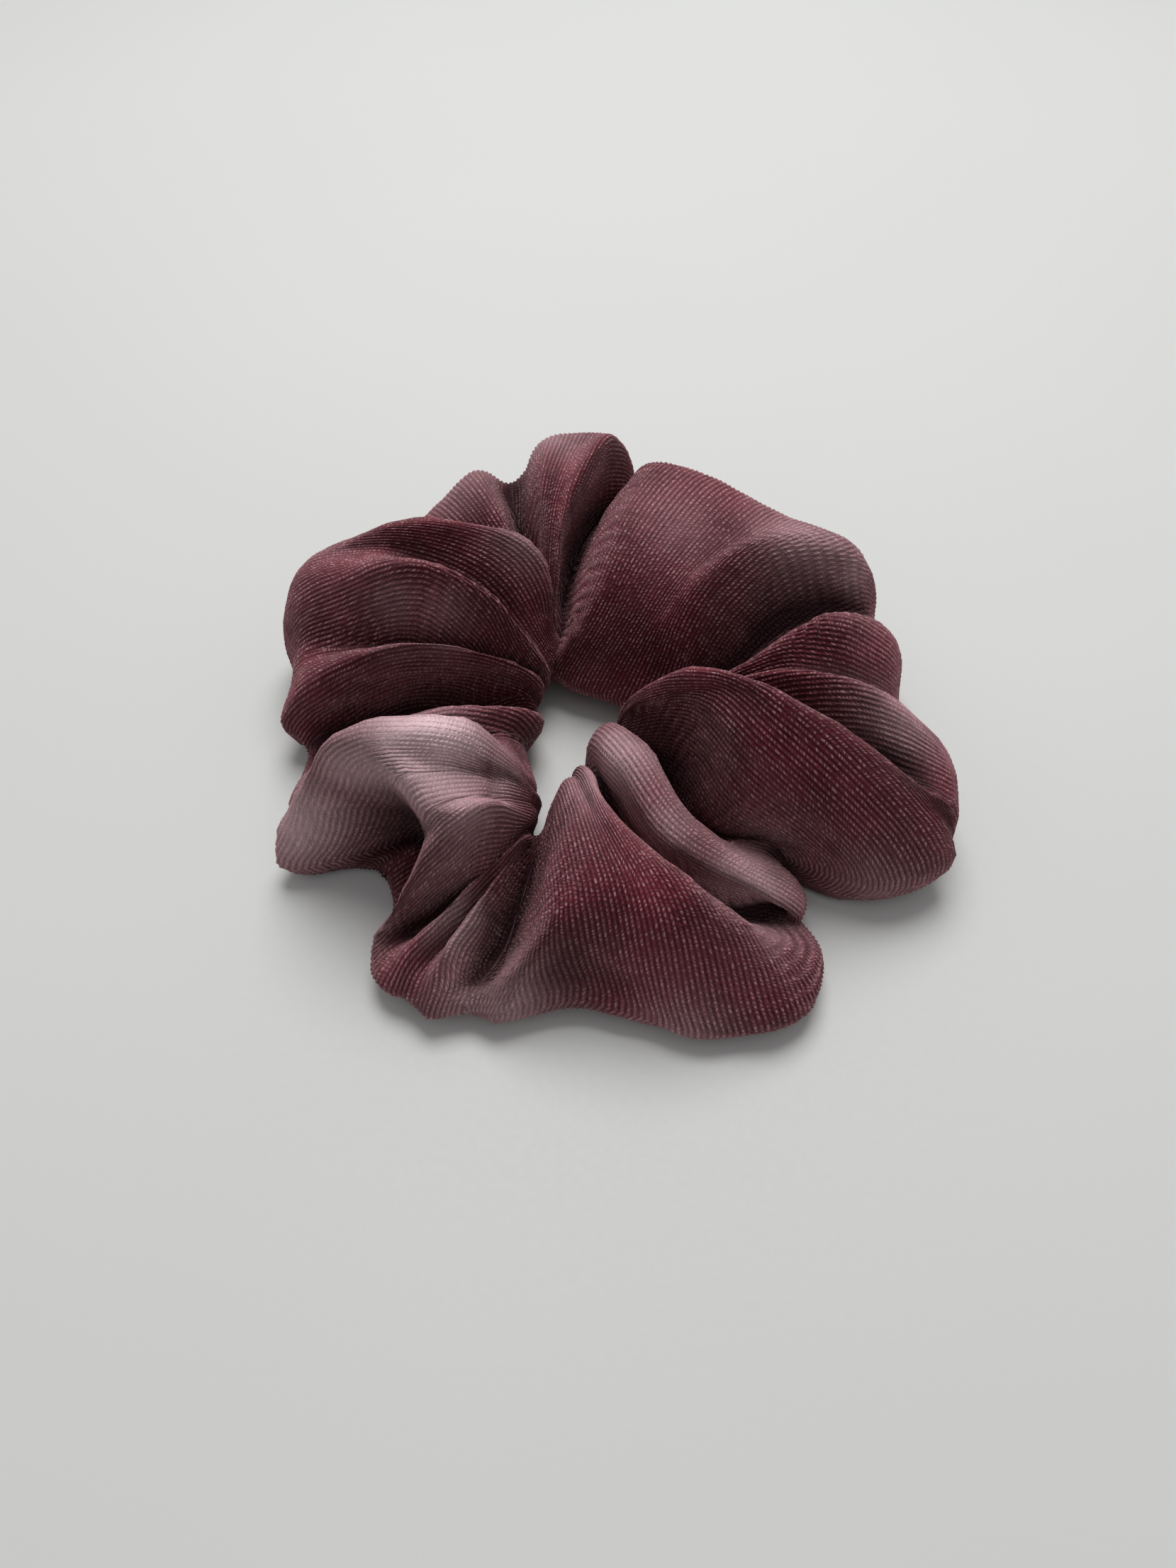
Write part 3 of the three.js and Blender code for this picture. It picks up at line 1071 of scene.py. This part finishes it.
@dataclass
class VelvetCover:
    """The ribbed velvet tube: one strip, its long edges turned in and its ends meeting in a crease."""

    finish: VelvetFinish
    net: FoldNet = field(default_factory=FoldNet)
    settling: ClothSettling = field(default_factory=ClothSettling)
    samples_per_rib: float = 3.5
    rows: int = 50
    rib_rise: float = 0.16
    fanning: float = 0.35
    turned_in: float = 2.0
    seam_gap: float = 0.12
    wrinkle_rise: float = 0.35
    floor_clearance: float = 0.15
    strip_size: tuple[float, float] = (107.0, 454.0)
    # reach and depth of the painted shade in the creases and hollows
    hollow_shade_reach: float = 9.0
    hollow_shade_depth: float = 2.8

    def shape(self) -> None:
        """Lays out the folds, settles the cloth and works out its fine grid."""
        laid_out, self.length, places = self.net.grid(self.settling.columns, self.settling.rows)
        settled = self.settling.settle(laid_out, self.length)
        self.ribs = round(self.length / self.finish.rib_pitch)
        self.columns = round(self.ribs * self.samples_per_rib)
        across = resample_closed(settled, self.columns)
        grid = resample_closed(across.transpose(1, 0, 2), self.rows).transpose(1, 0, 2)
        normals = outward_normals(grid)
        wrinkles = soft_waves(grid, (9.0, 22.0), 14, SEED)
        wrinkles += 0.45 * soft_waves(grid, (4.0, 8.0), 14, SEED + 1)
        self.grid = grid + normals * (wrinkles * self.wrinkle_rise)[..., None]
        self.normals = outward_normals(self.grid)
        folds = zip(places, self.net.folds)
        self.creases = [round(place * self.columns) for place, fold in folds if fold.kind is CREASE]
        self.width = float(steps_round(self.grid, 1).sum(1).mean())

    def strip_place(self) -> np.ndarray:
        """Measures each point's place on the strip.

        Across the ribs it is the distance from the middle of its own puff, so that the ribs keep
        their pitch and run into the creases, as they do where the cloth is gathered.

        Returns:
            The distance across the ribs and along them, in mm, and the puff's number.
        """
        steps = steps_round(self.grid)
        travelled = np.cumsum(steps, axis=0) - steps
        even = np.arange(self.columns)[:, None] * self.length / self.columns
        even = np.broadcast_to(even, travelled.shape)
        across = np.empty_like(travelled)
        puff = np.empty_like(travelled)
        ends = self.creases + [self.columns]
        for number, (start, end) in enumerate(zip(ends, ends[1:])):
            middle = (start + end) // 2
            own = travelled[start:end] - travelled[middle]
            fanned = even[start:end] - even[middle]
            home = round(float(even[middle, 0]) / self.finish.rib_pitch) * self.finish.rib_pitch
            across[start:end] = (1 - self.fanning) * own + self.fanning * fanned + home
            puff[start:end] = number
        round_steps = steps_round(self.grid, 1)
        along = np.cumsum(round_steps, axis=1) - round_steps
        return np.stack([across, along, puff], 2)

    def nap_sheen(self) -> np.ndarray:
        """Reads how much painted sheen of brushed pile each point gets, 0 to 1."""
        total = np.zeros(self.grid.shape[:2])
        for patch in NAP_SHEEN_PATCHES:
            middle = np.array([*self.net.place(patch.spot), patch.spot[2]])
            distance = np.linalg.norm(self.grid - middle, axis=2)
            total = np.maximum(total, patch.strength * np.exp(-((distance / patch.spread) ** 2)))
        return total

    def hollow_shade(self) -> np.ndarray:
        """Reads how deep in a hollow each point is, 0 to 1, for the painted shade that darkens the velvet
        in its creases and hollows.
        """
        eased = eased_round(self.grid, round(self.hollow_shade_reach * self.columns / self.length))
        depth = np.sum((eased - self.grid) * self.normals, axis=2)
        return np.clip(depth / self.hollow_shade_depth, 0.0, 1.0)

    def ribbed(self, strip: np.ndarray) -> np.ndarray:
        """Raises the ribs on the cloth.

        Args:
            strip: Each point's place on the strip.

        Returns:
            The ribbed grid, resting on the floor.
        """
        wander = RIB_WANDER * soft_waves(self.grid, (3.0, 7.0), 10, SEED + 2)
        wave = np.cos(math.tau * (strip[..., 0] / self.finish.rib_pitch + wander))
        raised = self.grid + self.normals * (wave * self.rib_rise)[..., None]
        clearance = self.floor_clearance
        low = raised[..., 2]
        held_up = clearance + clearance * np.exp(low / clearance - 2)
        raised[..., 2] = np.where(low < 2 * clearance, held_up, low)
        return raised

    def edged(self, values: np.ndarray, shift: np.ndarray | None = None) -> np.ndarray:
        """Opens a closed grid into the strip, with a repeated end column and turned-in edge rows.

        Args:
            values: The closed grid of points or values.
            shift: Where it is points, the way into the tube at each point of the seam.

        Returns:
            The strip's grid.
        """
        opened = np.concatenate([values, values[:1]], 0)
        edge = opened[:, :1]
        if shift is None:
            return np.concatenate([edge, opened, edge, edge], 1)
        inward = np.concatenate([shift, shift[:1]], 0)[:, None]
        sideways = unit(opened[:, 1:2] - opened[:, -1:]) * self.seam_gap
        start = [edge + inward + sideways, edge + sideways]
        end = [edge - sideways, edge + inward - sideways]
        return np.concatenate([*start, opened[:, 1:], *end], 1)

    def build(self) -> bpy.types.Object:
        """Builds the cover's mesh, and keeps its strip, its painted nap sheen and its painted hollow shade
        on it.

        Returns:
            The piece.
        """
        self.shape()
        strip = self.strip_place()
        points = self.ribbed(strip)
        self.surface = points
        open_points = self.edged(points, -self.normals[:, 0] * self.turned_in)
        open_strip = self.edged(strip)
        open_strip[:, -2:, 1] = self.width
        open_strip[-1, :, 0] = open_strip[-2, :, 0] + self.length / self.columns
        columns, rows = open_points.shape[:2]
        faces = grid_faces(columns, rows, False, False)
        cover = mesh_object("velvet_cover", open_points.reshape(-1, 3), faces)
        keep_values(cover, "strip", open_strip)
        for name, values in (("nap_sheen", self.nap_sheen()), ("hollow_shade", self.hollow_shade())):
            keep_values(cover, name, self.edged(values[..., None]))
        return cover

    def dress(self, cover: bpy.types.Object, finisher: Finisher) -> None:
        """Gives the cover its velvet, bakes its placement and hides the two cover halves.

        Args:
            cover: The piece.
            finisher: What makes the materials.
        """
        cover.data.materials.append(finisher.velvet(self.finish))
        stretch_with_halves(cover)
        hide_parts("cover_left", "cover_right")


def stretch_with_halves(piece: bpy.types.Object) -> None:
    """Bakes a piece's placement into its mesh."""
    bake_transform(piece)


# ---------------------------------------------------------------- elastic and thread


@dataclass
class ElasticBand:
    """The flat elastic inside the tube, its ends lapped and tacked."""

    cover: VelvetCover
    width: float = 6.0
    thickness: float = 1.2
    inset: float = 5.0
    nose_row: float = 0.06
    top_row: float = 0.17
    share_of_top: float = 0.35
    lowest: float = 1.2
    highest: float = 5.0
    ease: float = 36.0
    columns: int = 360

    def path(self) -> np.ndarray:
        """Follows the tube's inner edge, a little way in and low down, and smooths the route."""
        rows, grid = self.cover.rows, self.cover.grid
        nose = grid[:, round(rows * self.nose_row)]
        inward = grid[:, : rows // 2].mean(axis=1) - nose
        inward[:, 2] = 0.0
        route = nose + unit(inward) * self.inset
        top = grid[:, round(rows * self.top_row), 2]
        route[:, 2] = np.clip(top * self.share_of_top, self.lowest, self.highest)
        flat = eased_round(route[:, :2], self.ease)
        height = eased_round(route[:, 2:], self.ease / 3)
        return spaced_evenly(np.hstack([flat, height]), self.columns)

    def outline(self) -> np.ndarray:
        """Draws the band's rounded flat section, as offsets across and up."""
        turn = np.arange(16) / 16 * math.tau
        across = np.sign(np.cos(turn)) * np.abs(np.cos(turn)) ** 0.35 * self.width / 2
        up = np.sign(np.sin(turn)) * np.abs(np.sin(turn)) ** 0.6 * self.thickness / 2
        return np.stack([across, up], 1)

    def build(self) -> bpy.types.Object:
        """Builds the band.

        Returns:
            The piece.
        """
        self.route = self.path()
        ahead = unit(np.roll(self.route, -1, 0) - np.roll(self.route, 1, 0))
        across = unit(np.cross(ahead, UP))
        up = np.cross(across, ahead)
        section = self.outline()
        wide = across[:, None] * section[None, :, :1]
        points = self.route[:, None] + wide + up[:, None] * section[None, :, 1:]
        faces = grid_faces(self.columns, len(section), True, True)
        band = mesh_object("elastic_band", points.reshape(-1, 3), faces)
        length = steps_round(self.route)
        along = np.broadcast_to((np.cumsum(length) - length)[:, None], points.shape[:2])
        over = np.broadcast_to(section[None, :, 0] + self.width, points.shape[:2])
        strip = np.stack([over, along, np.zeros(points.shape[:2])], 2)
        keep_values(band, "strip", strip)
        return band

    def dress(self, band: bpy.types.Object, finisher: Finisher) -> None:
        """Gives the band its braid, bakes its placement and hides the elastic's parts.

        Args:
            band: The piece.
            finisher: What makes the materials.
        """
        band.data.materials.append(finisher.elastic(ElasticFinish()))
        stretch_with_halves(band)
        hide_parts("elastic_inner_end", "elastic_outer_end", "elastic_right")


@dataclass(frozen=True)
class StitchSize:
    """The size of a row of stitches."""

    length: float = 2.2
    step: float = 2.8
    thick: float = 0.45


def stitch_row(name: str, route: np.ndarray, lean: np.ndarray, size: StitchSize) -> bpy.types.Object:
    """Sews a row of short rounded stitches along a route.

    Args:
        name: The piece's name.
        route: The route's points, in mm.
        lean: The way off the cloth at each point, which the stitches stand up in.
        size: The stitches' sizes.

    Returns:
        The piece.
    """
    travelled = travel(route)
    starts = np.arange(size.step / 2, travelled[-1] - size.step, size.step)
    rings, sides = 6, 6
    arch = np.sin(np.linspace(0, math.pi, rings))
    turn = np.arange(sides) / sides * math.tau
    points, faces = [], []
    for count, start in enumerate(starts):
        at = start + np.linspace(0, size.length, rings)
        spine = read_at(at, travelled, route)
        off = unit(read_at(at, travelled, lean))
        side = np.cross(unit(np.gradient(spine, axis=0)), off)
        spine = spine + off * (arch[:, None] * size.thick * 0.5)
        radius = size.thick / 2 * (0.35 + 0.65 * arch)[:, None, None]
        ring = side[:, None] * np.cos(turn)[None, :, None] + off[:, None] * np.sin(turn)[None, :, None]
        points.append((spine[:, None] + ring * radius).reshape(-1, 3))
        quads = grid_faces(rings, sides, False, True) + count * rings * sides
        first, last = count * rings * sides, (count * rings + rings - 1) * sides
        half_caps = np.array([(0, 1, 2, 3), (0, 3, 4, 5)])
        faces.append(np.vstack([quads, half_caps + first, half_caps + last]))
    stitches = np.vstack(points)
    stitches[:, 2] = np.maximum(stitches[:, 2], STITCH_LOWEST)
    return mesh_object(name, stitches, np.vstack(faces))


@dataclass
class Sewing:
    """The threads: the long seam, the closing seam and the elastic's tack."""

    cover: VelvetCover
    band: ElasticBand
    velvet_thread: ThreadFinish = ThreadFinish((0.060, 0.012, 0.018), (0.150, 0.045, 0.060))
    tack_thread: ThreadFinish = ThreadFinish((0.45, 0.43, 0.39), (0.72, 0.70, 0.64))
    tack_zigzags: int = 3
    tack_reach: int = 8
    tack_points: int = 60
    rows_left_open: int = 3

    def long_seam(self) -> bpy.types.Object:
        """Sews the strip's long edges together, under the inner edge of the tube."""
        surface = np.vstack([self.cover.surface[:, 0], self.cover.surface[:1, 0]])
        lean = np.vstack([self.cover.normals[:, 0], self.cover.normals[:1, 0]])
        return stitch_row("long_seam_stitches", surface, lean, StitchSize())

    def closing_seam(self) -> bpy.types.Object:
        """Sews the strip's two ends together, over the tube in the crease."""
        rows = np.arange(self.rows_left_open, self.cover.rows - self.rows_left_open)
        surface, lean = self.cover.surface[0, rows], self.cover.normals[0, rows]
        size = StitchSize(length=1.8, step=2.6, thick=0.4)
        return stitch_row("closing_seam_stitches", surface, lean, size)

    def tack(self) -> bpy.types.Object:
        """Sews the zigzag that holds the elastic's lapped ends."""
        route = self.band.route
        start = int(np.argmin(route[:, 0]))
        near = np.arange(start - self.tack_reach, start + self.tack_reach + 1)
        picked = np.take(route, near, axis=0, mode="wrap")
        fine = np.linspace(0, len(picked) - 1, self.tack_points)
        spine = read_at(fine, np.arange(len(picked)), picked)
        across = unit(np.cross(np.gradient(spine, axis=0), UP))
        swing = np.cos(np.linspace(0, self.tack_zigzags * math.tau, len(spine)))[:, None]
        route = spine + across * swing * self.band.width / 3
        route[:, 2] += self.band.thickness / 2
        lean = np.broadcast_to(np.array(UP), route.shape)
        size = StitchSize(length=1.6, step=1.8, thick=0.4)
        return stitch_row("elastic_tack_stitches", route, lean, size)

    def build(self, finisher: Finisher) -> list[bpy.types.Object]:
        """Builds the stitches, dresses them, bakes their placement and hides the seams' parts.

        Args:
            finisher: What makes the materials.

        Returns:
            The pieces.
        """
        matched = finisher.thread("velvet_thread", self.velvet_thread)
        plain = finisher.thread("tack_thread", self.tack_thread)
        sewn = (
            (self.long_seam(), matched, "thread", ("long_seam_left", "long_seam_right")),
            (self.closing_seam(), matched, "thread", ("closing_seam",)),
            (self.tack(), plain, "tack_thread", ("elastic_tack",)),
        )
        for piece, material, slot, nodes in sewn:
            piece.data.materials.append(material)
            stretch_with_halves(piece)
            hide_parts(*nodes)
        return [piece for piece, *_ in sewn]


# ---------------------------------------------------------------- floor, light and camera


@dataclass
class Studio:
    """The pale floor, the soft light and the camera, in metres."""

    floor_half: float = 2.0
    world_strength: float = 0.36
    world_colour: Colour = (0.98, 0.99, 1.0)
    window_place: tuple[float, float, float] = (0.02, 0.33, 0.68)
    window_size: float = 0.5
    window_power: float = 4.3
    aim: tuple[float, float, float] = (0.0025, 0.0, 0.015)
    distance: float = 0.195
    elevation: float = 50.0
    lens: float = 27.04
    sideways: float = -0.0058
    tilt_down: float = 4.17

    def build_floor(self, finisher: Finisher) -> bpy.types.Object:
        """Lays the floor.

        Args:
            finisher: What makes the materials.

        Returns:
            The floor.
        """
        floor = flat_square("floor", self.floor_half / MM)
        floor.data.materials.append(finisher.floor(FloorFinish()))
        return floor

    def build_light(self) -> None:
        """Hangs a soft window light behind, under an even sky."""
        scene = bpy.context.scene
        scene.world = bpy.data.worlds.new("soft_room")
        scene.world.use_nodes = True
        background = scene.world.node_tree.nodes["Background"]
        background.inputs["Color"].default_value = (*self.world_colour, 1.0)
        background.inputs["Strength"].default_value = self.world_strength
        light = bpy.data.lights.new("window", "AREA")
        light.shape = "DISK"
        light.size = self.window_size
        light.energy = self.window_power
        lamp = bpy.data.objects.new("window", light)
        scene.collection.objects.link(lamp)
        lamp.location = self.window_place
        towards = Vector(self.aim) - Vector(self.window_place)
        lamp.rotation_euler = towards.to_track_quat("-Z", "Y").to_euler()
        scene.view_settings.view_transform = "Standard"

    def build_camera(self) -> None:
        """Sets the camera up, looking down at the scrunchie from the front."""
        scene = bpy.context.scene
        data = bpy.data.cameras.new("camera")
        data.lens = self.lens
        data.sensor_width = 36.0
        data.clip_start = 0.01
        camera = bpy.data.objects.new("camera", data)
        scene.collection.objects.link(camera)
        rise = math.radians(self.elevation)
        back = Vector((self.sideways, -self.distance * math.cos(rise), self.distance * math.sin(rise)))
        camera.location = Vector(self.aim) + back
        camera.rotation_euler = (math.pi / 2 - rise - math.radians(self.tilt_down), 0.0, 0.0)
        scene.camera = camera


def report(piece: bpy.types.Object) -> None:
    """Logs a piece's name and how many faces it has."""
    log.info("%s: %d faces", piece.name, len(piece.data.polygons))


def main() -> None:
    """Builds the scrunchie, its floor, its light and its camera."""
    logging.basicConfig(level=logging.INFO, format="%(name)s: %(message)s")
    effects = SharedEffects()
    effects.build_all()
    finisher = Finisher(effects)
    studio = Studio()
    studio.build_camera()
    studio.build_light()
    report(studio.build_floor(finisher))
    cover = VelvetCover(VelvetFinish())
    velvet = cover.build()
    band = ElasticBand(cover)
    elastic = band.build()
    band.dress(elastic, finisher)
    cover.dress(velvet, finisher)
    for piece in (elastic, velvet, *Sewing(cover, band).build(finisher)):
        report(piece)


if __name__ == "__main__":
    main()
